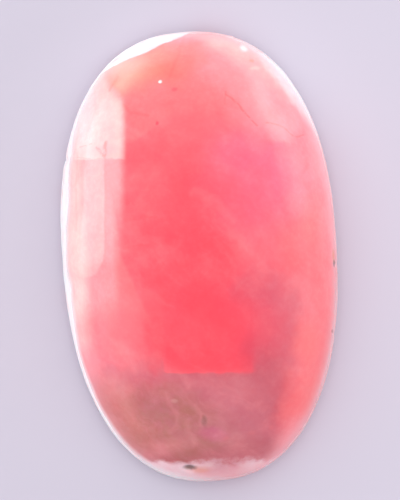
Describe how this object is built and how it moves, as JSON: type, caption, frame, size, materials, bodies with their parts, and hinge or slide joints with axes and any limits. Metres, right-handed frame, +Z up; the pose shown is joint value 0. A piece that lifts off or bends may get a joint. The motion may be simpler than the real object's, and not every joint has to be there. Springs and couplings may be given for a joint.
{
  "type": "rhodochrosite cabochon",
  "caption": "Polished oval rhodochrosite cabochon, translucent pink, with a high dome, a thin girdle band and a flat bevelled back that it lies on.",
  "frame": {"origin": "middle of the flat back that the stone lies on, which is the middle of the bottom of its box", "axes": "+Z up out of the dome, +Y along the stone's length towards its broader end, X across it"},
  "size_m": [0.0122, 0.02, 0.006],
  "materials": {
    "rhodochrosite": "polished"
  },
  "bodies": {
    "root": {"cabochon": "rhodochrosite"}
  },
  "joints": []
}
